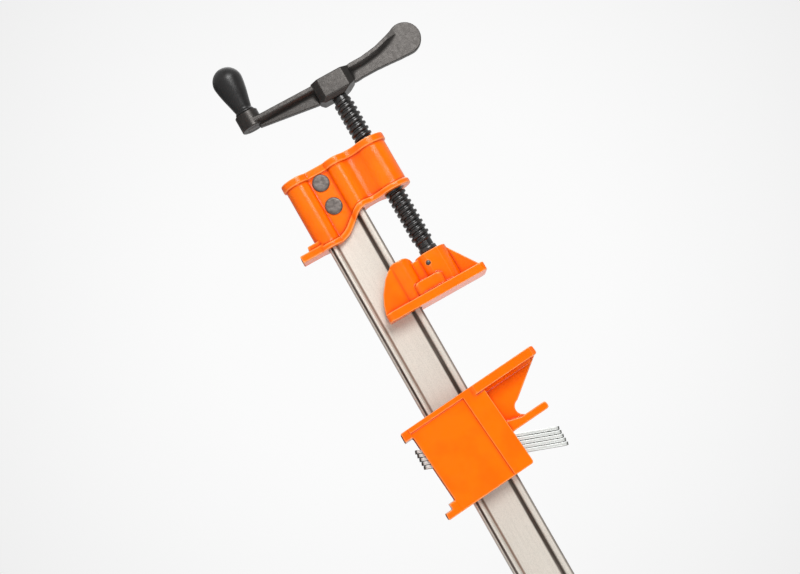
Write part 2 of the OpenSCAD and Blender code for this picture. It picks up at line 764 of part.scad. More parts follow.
// Taper of the knob from bulb to neck: share of the length, share of the way from neck to bulb radius
knob_taper = [[0.33, 0.97], [0.4, 0.9], [0.48, 0.79], [0.58, 0.64], [0.67, 0.45], [0.77, 0.26], [0.86, 0.1]];

module knob() {
    // Drawn from the knob's outer end along its axis: radius across, length upward
    outline = [for (t = knob_taper) [knob_neck_r + t[1] * (knob_r - knob_neck_r), t[0] * knob_len]];
    flare = [[knob_neck_r, knob_len - knob_flare_len], [knob_flare_r, knob_len - knob_edge],
        [knob_flare_r - knob_edge, knob_len], [0, knob_len]];
    color(black)
        translate([knob_x0, 0, knob_z])
            rotate([0, 90, 0])
                difference() {
                    rotate_extrude()
                        intersection() {
                            square([2 * knob_r, knob_len]);
                            union() {
                                translate([0, knob_r])
                                    circle(knob_r);
                                polygon(concat([[0, knob_r]], outline, flare));
                            }
                        }
                    translate([0, 0, knob_len - spindle_depth + spindle_head_len])
                        cylinder(r = spindle_r + run, h = knob_len);
                    translate([0, 0, knob_len - spindle_depth - play])
                        cylinder(r = spindle_head_r + run, h = spindle_head_len + 2 * play);
                }
}

module knob_spindle() {
    tip = knob_x1 - spindle_depth;
    color(raw) {
        rod_x(tip, spindle_x1, spindle_r, knob_z);
        rod_x(tip, tip + spindle_head_len, spindle_head_r, knob_z);
        translate([spindle_x1, 0, knob_z])
            rotate([0, -90, 0])
                cylinder(r1 = spindle_rivet_r, r2 = spindle_r, h = spindle_rivet_r - spindle_r);
    }
}

// Section of the pad's plate, round the bar
module pad_plate_section() {
    h = pad_over + pad_under;
    translate([0, bar_top - pad_under + h / 2])
        round_rect(pad_w, h, pad_corner);
}

// Room for the bar's top flange and web
module pad_slot() {
    deep = bar_flange + bar_fillet + 2 * pad_gap;
    translate([-(bar_w / 2 + pad_gap), bar_top + pad_gap - deep])
        square([bar_w + 2 * pad_gap, deep]);
    translate([-(bar_web / 2 + pad_gap), bar_top - pad_under - 1])
        square([bar_web + 2 * pad_gap, pad_under]);
}

// Outline of the legs beside the web: share of the saddle's length, share of the depth under the bar's top
leg_row = [[0, 0.13], [0, 1], [0.25, 0.91], [0.49, 0.77], [0.79, 0.5], [0.94, 0.29], [0.92, 0.13]];

module pressure_pad() {
    xp = pad_face_x - pad_t;
    xs = xp - saddle_len;
    xi = xp + lap;
    half = bar_w / 2 + pad_gap + pad_wall;
    zs = bar_top + saddle_lift;
    xg = pad_back + gusset_inset;
    mid = pad_boss_r / 2;
    // Corners of the stiffener block from its lower front end round its back
    block = [[xi + 1, bar_top + block_low], [xp - block_len, bar_top + block_low],
        [xp - block_len, bar_top + block_top], [xi + 1, bar_top + block_top]];
    color(paint)
        difference() {
            union() {
                along_x(xp, pad_face_x)
                    pad_plate_section();
                intersection() {
                    along_x(pad_back, xi)
                        translate([0, screw_z])
                            circle(pad_boss_r);
                    translate([pad_back - 1, -pad_boss_w / 2, 0])
                        cube([pad_boss_len + 3, pad_boss_w, far]);
                }
                across_y(pad_gusset_t)
                    polygon([[xg, screw_z + mid], [xg, screw_z + pad_boss_r - 2 * lap],
                        [xi, bar_top + pad_over - pad_gusset_drop], [xi, screw_z + mid]]);
                across_y(pad_neck_w)
                    polygon([[pad_back + neck_inset, screw_z - mid], [xs + saddle_round, zs], [xi, zs],
                        [xi, screw_z - mid]]);
                intersection() {
                    along_x(xs, xi)
                        lobe(zs, half, saddle_r);
                    across_y(far)
                        union() {
                            translate([xs + saddle_round, zs - saddle_r - 1])
                                square([saddle_len, 2 * saddle_r + 2]);
                            translate([xs, zs - saddle_r + saddle_round])
                                square([saddle_len, 2 * (saddle_r - saddle_round)]);
                            for (j = [-1, 1])
                                translate([xs + saddle_round, zs + j * (saddle_r - saddle_round)])
                                    circle(saddle_round);
                        }
                }
                across_y(leg_w)
                    translate([xi, bar_top])
                        polygon([for (t = leg_row) [-saddle_len * t[0], -pad_under * t[1]]]);
                intersection() {
                    along_x(xp - block_len - 1, xi)
                        translate([0, bar_top + (block_top + block_low) / 2])
                            round_rect(block_w, block_top - block_low + lap, block_corner);
                    across_y(far)
                        polygon(concat([block[0]], bend(block[0], block[1], block[2], block_ease),
                            bend(block[1], block[2], block[3], block_ease), [block[3]]));
                }
            }
            along_x(xs - 1, pad_face_x + 1)
                pad_slot();
            rod_x(pad_back - 1, journal_x1 + play, journal_r + run, screw_z);
            rod_y(pin_x, screw_z - pin_drop, pin_d / 2 + fit, pad_boss_w + 2);
        }
}

module pad_pin() {
    color(raw)
        rod_y(pin_x, screw_z - pin_drop, pin_d / 2, pad_boss_w + lap);
}

// The jaw's own frame: X from its face, Z from the top of the bar
module jaw_place() {
    translate([jaw_x, 0, bar_top + jaw_rest])
        rotate([0, -jaw_tilt, 0])
            children();
}

// The jaw's own frame for outlines
module jaw_flat() {
    translate([jaw_x, bar_top + jaw_rest])
        rotate(jaw_tilt)
            children();
}

// Room for the discs and the spring: under the bar's top all along, over it only behind the first disc
module disc_room() {
    across_y(2 * room_half) {
        jaw_flat()
            translate([end_wall, -jaw_under - lap])
                square([spring_u - end_wall, jaw_under + lap + window_gap]);
        intersection() {
            translate([fulcrum_x, fulcrum_z])
                rotate(-disc_lean)
                    translate([-disc_t / 2 - disc_gap * cos(disc_lean), -far / 2])
                        square([far, far]);
            jaw_flat()
                translate([end_wall, -jaw_over])
                    square([jaw_len - 2 * end_wall, 2 * jaw_over + lap]);
        }
    }
}

module jaw_body() {
    u1 = jaw_len;
    low = -jaw_under;
    deep = -jaw_under - far / 10;
    tab_u0 = tab_u1 - tab_t;
    gusset_top = face_over - gusset_drop;
    gusset_end = [notch_u - notch_r * 0.7, notch_w - notch_r * 0.55];
    slope = (gusset_top - gusset_end[1]) / (gusset_end[0] - face_t + lap);
    bevel_top = gusset_top - (gusset_fillet + 2 * lap) * slope;
    gy = gusset_t / 2;
    for (i = [0, 1])
        mirror([0, i, 0])
            translate([face_t, 0, jaw_over - lap])
                linear_extrude(bevel_top - jaw_over + lap)
                    polygon([[-lap, gy - lap], [gusset_fillet, gy - lap], [gusset_fillet, gy],
                        [0, gy + gusset_fillet], [-lap, gy + gusset_fillet]]);
    front = [[0, 0], [0, face_over], [face_t, face_over], [face_t, 0]];
    intersection() {
        along_x(-1, face_t + 1)
            for (i = [0, 1])
                mirror([i, 0])
                    polygon([[-lap, -lap], [jaw_half, -lap], [jaw_half, 0], [face_w / 2, face_flare],
                        [face_w / 2, face_over - face_corner], [face_w / 2 - face_corner - 1, face_over + 1],
                        [-lap, face_over + 1]]);
        across_y(far)
            polygon(concat([[face_t, -1], [0, -1]], bend(front[0], front[1], front[2], face_edge),
                bend(front[1], front[2], front[3], face_edge)));
    }
    across_y(jaw_w)
        polygon([[0, low], [u1, low], [u1, jaw_over - jaw_edge], [u1 - jaw_edge, jaw_over],
            [face_t - lap, jaw_over], [face_t - lap, lap], [0, lap]]);
    across_y(gusset_t)
        difference() {
            polygon([[face_t - lap, 0], [face_t - lap, gusset_top], gusset_end,
                [notch_u, notch_w - notch_r / 2],
                [tab_u0 + lap, notch_w - notch_r * 0.4], [tab_u0 + lap, 0]]);
            translate([notch_u, notch_w])
                circle(notch_r);
        }
    across_y(tab_w)
        polygon(concat([[tab_u0 - tab_spread, jaw_over - lap], [tab_u0, notch_w - notch_r]],
            bend([tab_u0, notch_w], [tab_u0, tab_over], [tab_u1, tab_over], tab_edge),
            bend([tab_u0, tab_over], [tab_u1, tab_over], [tab_u1, notch_w], tab_edge),
            [[tab_u1, jaw_over - lap]]));
    across_y(jaw_w - 2 * foot_inset)
        union() {
            polygon([[0, low + lap], [0, deep], [jaw_foot, deep], [jaw_foot, low + lap]]);
            polygon([[u1 - jaw_step, low + lap], [u1 - jaw_step, low - step_drop],
                [u1 - jaw_heel, low - step_drop], [u1 - jaw_heel, deep], [u1, deep], [u1, low + lap]]);
        }
}

module tail_jaw() {
    drop = jaw_len * tan(jaw_tilt) + bar_h / cos(jaw_tilt) + window_gap;
    color(paint)
        difference() {
            jaw_place()
                difference() {
                    jaw_body();
                    translate([-lap, -bar_w / 2 - window_gap, -drop])
                        cube([jaw_len + 2 * lap, bar_w + 2 * window_gap, drop + window_gap]);
                    for (i = [0, 1])
                        mirror([0, i, 0])
                            translate([panel_edge, jaw_half - panel_depth, -jaw_under - lap])
                                cube([jaw_len, panel_depth + lap, jaw_under + lap - panel_drop]);
                }
            disc_room();
            translate([-far, -far, -far])
                cube([4 * far, 2 * far, far]);
        }
}

module clutch_disc(k) {
    h = disc_high - disc_low;
    color(zinc)
        translate([fulcrum_x + k * disc_pitch, 0, fulcrum_z])
            rotate([0, disc_lean, 0])
                along_x(-disc_t / 2, disc_t / 2)
                    difference() {
                        translate([0, (disc_high + disc_low) / 2])
                            round_rect(disc_w, h, disc_corner);
                        translate([-bar_w / 2 - slot_gap, slot_low])
                            square([bar_w + 2 * slot_gap, slot_high - slot_low]);
                    }
}

module clutch_disc_1() {
    clutch_disc(0);
}

module clutch_disc_2() {
    clutch_disc(1);
}

module clutch_disc_3() {
    clutch_disc(2);
}

module clutch_disc_4() {
    clutch_disc(3);
}

module clutch_disc_5() {
    clutch_disc(4);
}

// Rings per turn and sides of the spring wire
rings = 8;
sides = 6;
coil_r = spring_r - wire_r;
coil_len = spring_x1 - spring_x0 - 2 * wire_r;
coil_n = rings * spring_turns;

// Middle of the wire
function wire_mid(i) =
    let (a = 90 + 360 * i / rings)
        [spring_x0 + wire_r + coil_len * i / coil_n, coil_r * cos(a), coil_r * sin(a)];

echo(spring_least_gap = min([for (i = [0 : coil_n - rings / 2]) for (j = [i + rings / 2 : coil_n])
    norm(wire_mid(i) - wire_mid(j))]) - 2 * wire_r);

function wire_at(i, k) =
    let (a = 90 + 360 * i / rings, b = 360 * k / sides)
        wire_mid(i) + wire_r * [sin(b), cos(b) * cos(a), cos(b) * sin(a)];

module clutch_spring() {
    points = [for (i = [0 : coil_n]) for (k = [0 : sides - 1]) wire_at(i, k)];
    skin = [for (i = [0 : coil_n - 1]) for (k = [0 : sides - 1]) for (t = [0, 1])
        let (p = sides * i + k, q = sides * i + (k + 1) % sides)
            t == 0 ? [p, q, q + sides] : [p, q + sides, p + sides]];
    ends = [[for (k = [0 : sides - 1]) sides - 1 - k], [for (k = [0 : sides - 1]) sides * coil_n + k]];
    color(raw)
        translate([0, 0, spring_z])
            polyhedron(points, concat(skin, ends));
}

i_bar();
head_casting();
head_rivet_rear();
head_rivet_front();
bar_stop_pin();
clamp_screw();
crank_handle();
knob();
knob_spindle();
pressure_pad();
pad_pin();
tail_jaw();
clutch_disc_1();
clutch_disc_2();
clutch_disc_3();
clutch_disc_4();
clutch_disc_5();
clutch_spring();
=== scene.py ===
import bpy
import bmesh
import math
import numpy as np
from mathutils import Matrix, Vector, geometry, noise


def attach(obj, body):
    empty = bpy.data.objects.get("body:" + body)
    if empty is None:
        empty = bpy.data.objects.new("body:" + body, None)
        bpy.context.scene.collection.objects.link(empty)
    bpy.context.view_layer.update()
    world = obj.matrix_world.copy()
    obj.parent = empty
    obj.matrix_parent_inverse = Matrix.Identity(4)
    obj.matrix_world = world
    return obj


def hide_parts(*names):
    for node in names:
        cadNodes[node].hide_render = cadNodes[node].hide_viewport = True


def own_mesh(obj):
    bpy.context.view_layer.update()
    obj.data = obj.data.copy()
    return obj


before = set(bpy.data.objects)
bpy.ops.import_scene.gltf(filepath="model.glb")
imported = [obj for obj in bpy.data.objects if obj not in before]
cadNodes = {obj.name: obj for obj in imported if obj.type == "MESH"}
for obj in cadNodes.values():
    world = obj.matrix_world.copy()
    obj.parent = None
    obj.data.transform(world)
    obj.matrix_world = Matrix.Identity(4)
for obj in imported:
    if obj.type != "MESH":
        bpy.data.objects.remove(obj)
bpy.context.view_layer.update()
scene = bpy.context.scene
mm = 0.001
print("stage 1: frame loaded with", len(cadNodes), "solids")


# finishes: noise on the piece's own coordinates, in metres, and marks left on its mesh

def startFinish(name, values):
    finish = bpy.data.materials.new(name)
    finish.use_nodes = True
    tree = finish.node_tree
    tree.nodes.clear()
    out = tree.nodes.new("ShaderNodeOutputMaterial")
    skin = tree.nodes.new("ShaderNodeBsdfPrincipled")
    tree.links.new(skin.outputs["BSDF"], out.inputs["Surface"])
    for socket, value in values.items():
        skin.inputs[socket].default_value = value
    place = tree.nodes.new("ShaderNodeTexCoord")
    return finish, tree, skin, place.outputs["Object"]


# feel: scale per metre, with detail, roughness and stretch where they aren't the usual ones
def grain(tree, place, feel):
    if "stretch" in feel:
        pull = tree.nodes.new("ShaderNodeMapping")
        pull.inputs["Scale"].default_value = feel["stretch"]
        tree.links.new(place, pull.inputs["Vector"])
        place = pull.outputs["Vector"]
    speck = tree.nodes.new("ShaderNodeTexNoise")
    speck.inputs["Scale"].default_value = feel["scale"]
    speck.inputs["Detail"].default_value = feel.get("detail", 3.0)
    speck.inputs["Roughness"].default_value = feel.get("rough", 0.55)
    tree.links.new(place, speck.inputs["Vector"])
    return speck.outputs["Fac"]


def ramp(tree, fac, *stops):
    band = tree.nodes.new("ShaderNodeValToRGB")
    points = band.color_ramp.elements
    while len(points) < len(stops):
        points.new(0.5)
    for point, (at, colour) in zip(points, stops):
        point.position = at
        point.color = tuple(colour) + (1.0,)
    tree.links.new(fac, band.inputs["Fac"])
    return band.outputs["Color"]


def grey(level):
    return (level, level, level)


def greyRamp(tree, fac, stops):
    return ramp(tree, fac, *[(at, grey(level)) for at, level in stops])


# two colours laid out by a noise, over the spread that its feel gives
def mottled(tree, fac, feel, dark, light):
    start, end = feel.get("spread", (0.3, 0.7))
    return ramp(tree, fac, (start, dark), (end, light))


# the same in greys, between the two levels that its feel gives
def greyGrain(tree, place, feel):
    low, high = feel["levels"]
    return mottled(tree, grain(tree, place, feel), feel, grey(low), grey(high))


def tint(tree, fac, under, over):
    mixer = tree.nodes.new("ShaderNodeMix")
    mixer.data_type = "RGBA"
    tree.links.new(fac, mixer.inputs[0])
    for socket, colour in ((6, under), (7, over)):
        if isinstance(colour, tuple):
            mixer.inputs[socket].default_value = colour + (1.0,)
        else:
            tree.links.new(colour, mixer.inputs[socket])
    return mixer.outputs[2]


def relief(tree, skin, *layers):
    before = None
    for height, feel in layers:
        bump = tree.nodes.new("ShaderNodeBump")
        bump.inputs["Strength"].default_value = feel["strength"]
        bump.inputs["Distance"].default_value = feel["depth"]
        tree.links.new(height, bump.inputs["Height"])
        if before is not None:
            tree.links.new(before, bump.inputs["Normal"])
        before = bump.outputs["Normal"]
    tree.links.new(before, skin.inputs["Normal"])


def edges(tree, low, high):
    shape = tree.nodes.new("ShaderNodeNewGeometry")
    return greyRamp(tree, shape.outputs["Pointiness"], [(low, 0.0), (high, 1.0)])


# a mark on the mesh; how far a casting's skin stands out is 0.5 on a flat, less in a hollow
def marked(tree, mark, low, high):
    skinMark = tree.nodes.new("ShaderNodeAttribute")
    skinMark.attribute_name = mark
    return greyRamp(tree, skinMark.outputs["Fac"], [(low, 0.0), (high, 1.0)])


# orange enamel on cast iron: deeper orange in the broad valleys and darker in the sharp creases as
# painted shade, paler along the edges as a painted highlight
# the valley and crease colours are painted shade, the pale edge colour a painted highlight
enamelTone = {"shine": 0.24, "orange": (1.0, 0.170, 0.0), "deep": (0.97, 0.145, 0.0),
              "valleyShade": (0.94, 0.100, 0.0), "crease": (0.56, 0.042, 0.0), "edgeHighlight": (1.0, 0.44, 0.15),
              "valleys": (0.28, 0.485), "creases": (0.32, 0.490), "edges": (0.545, 0.78),
              "patches": {"scale": 42.0, "detail": 2.0, "spread": (0.34, 0.58)},
              "satin": {"scale": 260.0, "levels": (0.16, 0.24)},
              "waves": {"scale": 60.0, "detail": 2.0, "strength": 0.16, "depth": 0.0012}}


def orangeEnamel():
    tone = enamelTone
    finish, tree, skin, place = startFinish("orange_enamel", {"Specular IOR Level": tone["shine"]})
    patches = grain(tree, place, tone["patches"])
    coat = mottled(tree, patches, tone["patches"], tone["deep"], tone["orange"])
    # painted shade in the valleys and creases, then a painted highlight along the edges
    valleyShaded = tint(tree, marked(tree, "broadLift", *tone["valleys"]), tone["valleyShade"], coat)
    creaseShaded = tint(tree, marked(tree, "fineLift", *tone["creases"]), tone["crease"], valleyShaded)
    edgeHighlighted = tint(tree, marked(tree, "fineLift", *tone["edges"]), creaseShaded, tone["edgeHighlight"])
    tree.links.new(edgeHighlighted, skin.inputs["Base Color"])
    tree.links.new(greyGrain(tree, place, tone["satin"]), skin.inputs["Roughness"])
    relief(tree, skin, (grain(tree, place, tone["waves"]), tone["waves"]))
    return finish


# rolled bar: dull plating with drawn streaks; dark bands along the edges and in the fillets, partly
# mill scale and partly painted shade, brown in the lower fillet as a painted shadow
# the dark band colour is mill scale and painted shade; the brown colour is a painted shadow in the
# lower fillet
barTone = {"shine": 0.25, "web": (0.66, 0.612, 0.545), "webDark": (0.51, 0.470, 0.417),
           "streak": (0.76, 0.712, 0.645), "scale": (0.040, 0.024, 0.017),
           "filletShadowBrown": (0.15, 0.070, 0.038), "scaleAndShadeRough": 0.95,
           "speckle": {"scale": 1500.0, "detail": 4.0, "rough": 0.75, "spread": (0.36, 0.56),
                       "strength": 0.22, "depth": 0.0003},
           "drawn": {"scale": 900.0, "rough": 0.6, "stretch": (0.03, 1.0, 1.0),
                     "strength": 0.10, "depth": 0.0002},
           "streaks": [(0.35, 0.0), (0.75, 0.35)],
           "flakes": {"scale": 420.0, "rough": 0.6, "stretch": (0.05, 1.0, 1.0),
                      "spread": (0.25, 0.6), "levels": (0.84, 1.0)},
           "metal": [(0.0, 0.2), (0.5, 0.0)],
           "satin": {"scale": 600.0, "levels": (0.34, 0.48)}}


def barPlating():
    tone = barTone
    finish, tree, skin, place = startFinish("bar_plating", {"Specular IOR Level": tone["shine"]})
    speckle = grain(tree, place, tone["speckle"])
    drawn = grain(tree, place, tone["drawn"])
    web = mottled(tree, speckle, tone["speckle"], tone["webDark"], tone["web"])
    streaked = tint(tree, greyRamp(tree, drawn, tone["streaks"]), web, tone["streak"])
    split = tree.nodes.new("ShaderNodeSeparateXYZ")
    tree.links.new(place, split.inputs["Vector"])
    height = tree.nodes.new("ShaderNodeMapRange")
    height.inputs["From Min"].default_value = barShape["low"] * mm
    height.inputs["From Max"].default_value = barShape["high"] * mm
    tree.links.new(split.outputs["Z"], height.inputs["Value"])

    def byHeight(bands):
        full = barShape["high"] - barShape["low"]
        return greyRamp(tree, height.outputs["Result"], [(at / full, level) for at, level in bands])

    # painted shade, partly mill scale, in dark bands by height, with a brown painted shadow in the
    # lower fillet
    scaleAndShadeColour = tint(tree, byHeight(barShape["filletShadowBand"]), tone["scale"], tone["filletShadowBrown"])
    patchyScaleAndShade = tree.nodes.new("ShaderNodeMath")
    patchyScaleAndShade.operation = "MULTIPLY"
    tree.links.new(byHeight(barShape["scaleAndShadeBands"]), patchyScaleAndShade.inputs[0])
    tree.links.new(greyGrain(tree, place, tone["flakes"]), patchyScaleAndShade.inputs[1])
    scaleAndShadeMask = patchyScaleAndShade.outputs[0]
    tree.links.new(tint(tree, scaleAndShadeMask, streaked, scaleAndShadeColour), skin.inputs["Base Color"])
    tree.links.new(greyRamp(tree, scaleAndShadeMask, tone["metal"]), skin.inputs["Metallic"])
    roughness = tint(tree, scaleAndShadeMask, greyGrain(tree, place, tone["satin"]), grey(tone["scaleAndShadeRough"]))
    tree.links.new(roughness, skin.inputs["Roughness"])
    relief(tree, skin, (speckle, tone["speckle"]), (drawn, tone["drawn"]))
    return finish


# clutch discs: pale rims, flat faces darker and dull, dark ends; the darker flat faces and dark
# ends are painted shade in the gaps and at the ends of the stack
zincTone = {"shine": 0.3, "dim": (0.62, 0.64, 0.62), "bright": (0.68, 0.695, 0.67),
            "flatShade": (0.42, 0.43, 0.42), "endShade": (0.13, 0.13, 0.12), "rubbedRough": 0.85,
            "mark": (0.2, 0.8), "metal": [(0.0, 0.35), (1.0, 0.0)],
            "satin": [(0.3, 0.32), (0.7, 0.40)],
            "spangle": {"scale": 420.0, "detail": 4.0, "rough": 0.65, "spread": (0.3, 0.62),
                        "strength": 0.03, "depth": 0.0003}}


def zincPlating():
    tone = zincTone
    finish, tree, skin, place = startFinish("zinc_plating", {"Specular IOR Level": tone["shine"]})
    spangle = grain(tree, place, tone["spangle"])
    rim = mottled(tree, spangle, tone["spangle"], tone["dim"], tone["bright"])
    flat = marked(tree, "flatFace", *tone["mark"])
    # painted shade: flat faces, which meet in the narrow gaps, darker, and end faces dark
    flatShaded = tint(tree, flat, rim, tone["flatShade"])
    endShaded = tint(tree, marked(tree, "cutEnd", *tone["mark"]), flatShaded, tone["endShade"])
    tree.links.new(endShaded, skin.inputs["Base Color"])
    tree.links.new(greyRamp(tree, flat, tone["metal"]), skin.inputs["Metallic"])
    rimSatin = greyRamp(tree, spangle, tone["satin"])
    tree.links.new(tint(tree, flat, rimSatin, grey(tone["rubbedRough"])), skin.inputs["Roughness"])
    relief(tree, skin, (spangle, tone["spangle"]))
    return finish


# screw: black oxide, rubbed paler on the thread's crests
oxideTone = {"shine": 0.6, "dark": (0.004, 0.004, 0.004), "light": (0.012, 0.011, 0.010),
             "worn": (0.040, 0.035, 0.032), "edges": (0.515, 0.58), "patches": {"scale": 260.0},
             "satin": {"scale": 700.0, "levels": (0.22, 0.32)},
             "pores": {"scale": 1300.0, "strength": 0.12, "depth": 0.0002}}


def blackOxide():
    tone = oxideTone
    finish, tree, skin, place = startFinish("black_oxide", {"Specular IOR Level": tone["shine"]})
    patches = grain(tree, place, tone["patches"])
    coat = mottled(tree, patches, tone["patches"], tone["dark"], tone["light"])
    worn = tint(tree, edges(tree, *tone["edges"]), coat, tone["worn"])
    tree.links.new(worn, skin.inputs["Base Color"])
    tree.links.new(greyGrain(tree, place, tone["satin"]), skin.inputs["Roughness"])
    relief(tree, skin, (grain(tree, place, tone["pores"]), tone["pores"]))
    return finish


# crank: dark satin coat on a rough casting, black in the hollows as painted shade and dull there,
# paler along the edges
ironTone = {"shine": 0.55, "shineTint": (1.0, 0.94, 0.89, 1.0), "dark": (0.003, 0.0025, 0.0024),
            "light": (0.012, 0.010, 0.009), "hollow": (0.001, 0.001, 0.001),
            "worn": (0.024, 0.021, 0.019), "hollows": (0.28, 0.455), "edges": (0.62, 0.95),
            "hollowRough": 0.9,
            "patches": {"scale": 150.0, "detail": 5.0, "rough": 0.65, "spread": (0.34, 0.66)},
            "satin": {"scale": 300.0, "detail": 4.0, "levels": (0.34, 0.46)},
            "sand": {"scale": 520.0, "strength": 0.12, "depth": 0.0003},
            "waves": {"scale": 90.0, "detail": 2.0, "strength": 0.12, "depth": 0.0010}}


def darkCasting():
    tone = ironTone
    finish, tree, skin, place = startFinish("dark_casting", {"Specular IOR Level": tone["shine"],
                                                             "Specular Tint": tone["shineTint"]})
    patches = grain(tree, place, tone["patches"])
    patina = mottled(tree, patches, tone["patches"], tone["dark"], tone["light"])
    # painted shade: the base goes black in the broad hollows
    hollow = marked(tree, "broadLift", *tone["hollows"])
    hollowed = tint(tree, hollow, tone["hollow"], patina)
    worn = tint(tree, marked(tree, "fineLift", *tone["edges"]), hollowed, tone["worn"])
    tree.links.new(worn, skin.inputs["Base Color"])
    roughness = tint(tree, hollow, grey(tone["hollowRough"]), greyGrain(tree, place, tone["satin"]))
    tree.links.new(roughness, skin.inputs["Roughness"])
    relief(tree, skin, (grain(tree, place, tone["sand"]), tone["sand"]),
           (grain(tree, place, tone["waves"]), tone["waves"]))
    return finish


# knob: satin black with fine pores
knobTone = {"shine": 0.5, "dark": (0.004, 0.004, 0.004), "light": (0.009, 0.008, 0.008),
            "patches": {"scale": 160.0}, "satin": {"scale": 500.0, "levels": (0.34, 0.44)},
            "pores": {"scale": 1600.0, "detail": 2.0, "strength": 0.10, "depth": 0.0002}}


def knobBlack():
    tone = knobTone
    finish, tree, skin, place = startFinish("knob_black", {"Specular IOR Level": tone["shine"]})
    patches = grain(tree, place, tone["patches"])
    tree.links.new(mottled(tree, patches, tone["patches"], tone["dark"], tone["light"]),
                   skin.inputs["Base Color"])
    tree.links.new(greyGrain(tree, place, tone["satin"]), skin.inputs["Roughness"])
    relief(tree, skin, (grain(tree, place, tone["pores"]), tone["pores"]))
    return finish


# rivets and pins: plain steel, darker on the pins
steelTone = {"metal": 0.5, "rivet_steel": ((0.075, 0.064, 0.058), (0.17, 0.148, 0.135)),
             "pin_steel": ((0.035, 0.033, 0.032), (0.11, 0.10, 0.095)),
             "patches": {"scale": 330.0, "detail": 5.0, "rough": 0.7, "spread": (0.34, 0.66)},
             "satin": {"scale": 700.0, "levels": (0.34, 0.54)},
             "scars": {"scale": 800.0, "detail": 4.0, "rough": 0.65, "strength": 0.26,
                       "depth": 0.0003}}


def plainSteel(name):
    tone = steelTone
    finish, tree, skin, place = startFinish(name, {"Metallic": tone["metal"]})
    patches = grain(tree, place, tone["patches"])
    tree.links.new(mottled(tree, patches, tone["patches"], *tone[name]), skin.inputs["Base Color"])
    tree.links.new(greyGrain(tree, place, tone["satin"]), skin.inputs["Roughness"])
    relief(tree, skin, (grain(tree, place, tone["scars"]), tone["scars"]))
    return finish


paint = orangeEnamel()
zinc = zincPlating()
oxide = blackOxide()
iron = darkCasting()
plastic = knobBlack()
rivetSteel = plainSteel("rivet_steel")
pinSteel = plainSteel("pin_steel")

# meshes: sizes in millimetres, in the frame's own axes

clampPieces = []


def addPiece(name, mesh, body, slotName, finish, *stoodFor):
    piece = bpy.data.objects.new(name, mesh)
    clampPieces.append(piece)
    scene.collection.objects.link(piece)
    mesh.materials.clear()
    mesh.materials.append(finish)
    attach(piece, body)
    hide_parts(*stoodFor)
    return piece


def makeMesh(name, points, faces, crease):
    mesh = bpy.data.meshes.new(name)
    mesh.from_pydata([tuple(mm * c for c in p) for p in points], [], faces)
    work = bmesh.new()
    work.from_mesh(mesh)
    bmesh.ops.recalc_face_normals(work, faces=work.faces)
    work.to_mesh(mesh)
    work.free()
    mesh.polygons.foreach_set("use_smooth", [True] * len(mesh.polygons))
    mesh.set_sharp_from_angle(angle=math.radians(crease))
    return mesh


# a turned piece: profile of (place along the axis, radius), closed where the radius is 0
def turned(profile, sides, wobble=None):
    points, faces, rings = [], [], []
    for along, radius in profile:
        if radius <= 0:
            rings.append([len(points)])
            points.append((along, 0.0, 0.0))
            continue
        ring = []
        for s in range(sides):
            angle = 2 * math.pi * s / sides
            r = radius * (wobble(along, angle) if wobble else 1.0)
            ring.append(len(points))
            points.append((along, r * math.cos(angle), r * math.sin(angle)))
        rings.append(ring)
    for a, b in zip(rings, rings[1:]):
        for s in range(sides):
            t = (s + 1) % sides
            if len(a) == 1:
                faces.append((a[0], b[s], b[t]))
            elif len(b) == 1:
                faces.append((a[s], b[0], a[t]))
            else:
                faces.append((a[s], b[s], b[t], a[t]))
    return points, faces


def carried(points, turn, shift):
    return [tuple(turn @ Vector(p) + Vector(shift)) for p in points]


def lifted(points, height):
    return [(x, y, z + height) for x, y, z in points]


def joined(*parts):
    points, faces = [], []
    for somePoints, someFaces in parts:
        start = len(points)
        points += somePoints
        faces += [tuple(start + i for i in face) for face in someFaces]
    return points, faces


# a smooth row of points through the knots, with some steps between each two
def eased(knots, steps):
    rows = []
    for i in range(len(knots) - 1):
        a, b = np.array(knots[i]), np.array(knots[i + 1])
        before = np.array(knots[max(i - 1, 0)])
        after = np.array(knots[min(i + 2, len(knots) - 1)])
        for s in range(steps):
            t = s / steps
            rows.append(0.5 * (2 * a + (b - before) * t
                               + (2 * before - 5 * a + 4 * b - after) * t ** 2
                               + (3 * a - before - 3 * b + after) * t ** 3))
    rows.append(np.array(knots[-1]))
    return [tuple(float(c) for c in row) for row in rows]


def arc(cy, cz, r, fromAngle, toAngle, steps):
    angles = [math.radians(fromAngle + (toAngle - fromAngle) * s / steps) for s in range(steps + 1)]
    return [(cy + r * math.cos(a), cz + r * math.sin(a)) for a in angles]


acrossBar = Matrix.Rotation(math.radians(90), 3, "Z")  # turns a piece made along X to run along Y

# I-bar; the bands of dark mill scale and painted shade, with a brown painted shadow in the lower
# fillet, run along it, by height over its lower edge
barShape = {"from": -69.0, "to": 767.0, "low": 26.5, "high": 73.2, "width": 16.0, "web": 5.0,
            "flange": 6.8, "fillet": 3.0, "edge": 2.0, "arcSteps": 6, "spans": 24, "chamfer": 0.5,
            "crease": 35.0,
            "scaleAndShadeBands": [(0.0, 0.20), (1.3, 0.20), (1.8, 1.0), (3.4, 1.0), (4.1, 0.03),
                           (5.4, 0.0), (7.0, 0.0), (7.7, 0.85), (9.1, 0.85), (9.9, 0.0),
                           (36.0, 0.0), (37.2, 0.96), (39.6, 0.96), (41.0, 0.06), (44.3, 0.0),
                           (45.2, 0.70), (46.7, 0.75)],
            "filletShadowBand": [(6.0, 0.0), (7.0, 1.0), (9.9, 1.0), (11.0, 0.0)]}


